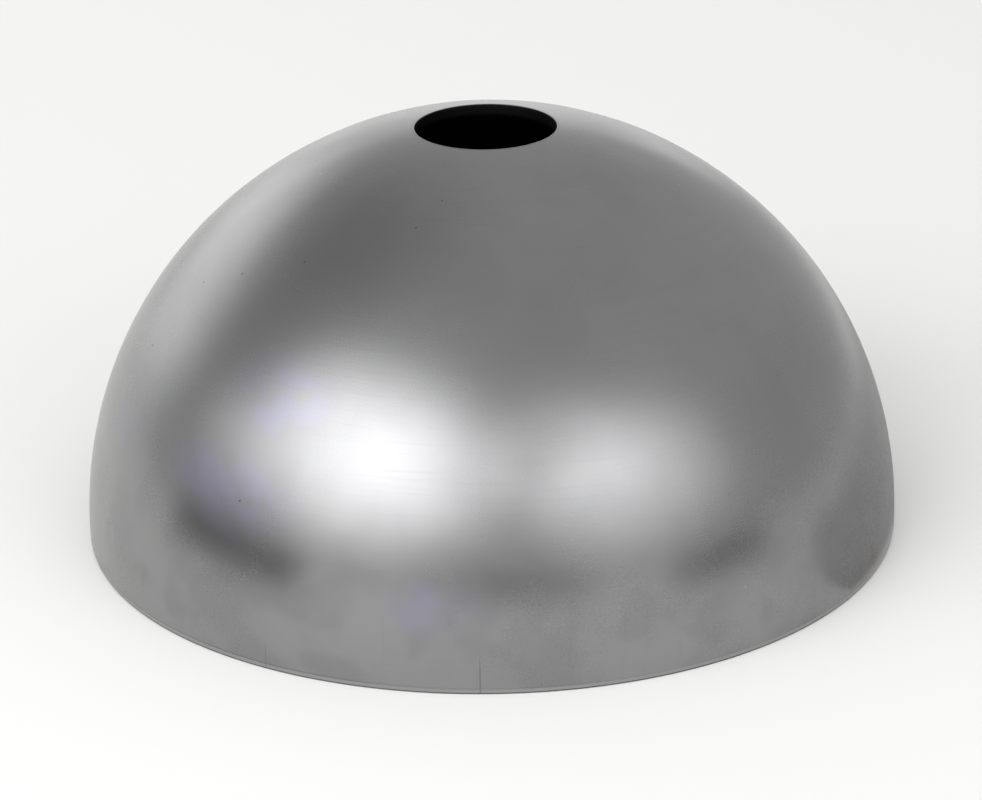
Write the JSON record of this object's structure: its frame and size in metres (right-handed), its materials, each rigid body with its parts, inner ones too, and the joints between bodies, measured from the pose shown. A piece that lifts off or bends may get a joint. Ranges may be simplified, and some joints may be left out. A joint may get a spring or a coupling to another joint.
{
  "type": "domed pipe cap",
  "caption": "Half-sphere cap drawn from steel sheet, open at the rim, with a round hole in the crown that a pipe passes through.",
  "frame": {"origin": "on the cap's axis, in the plane of its rim", "axes": "+Z along the cap's axis, from the open rim up to the hole in the crown; X and Y are any pair across it"},
  "size_m": [0.2, 0.2, 0.1015],
  "materials": {
    "drawn_steel": "satin, as drawn and wiped, with fine draw marks above the rim"
  },
  "bodies": {
    "root": {"dome_shell": "drawn_steel"}
  },
  "joints": []
}
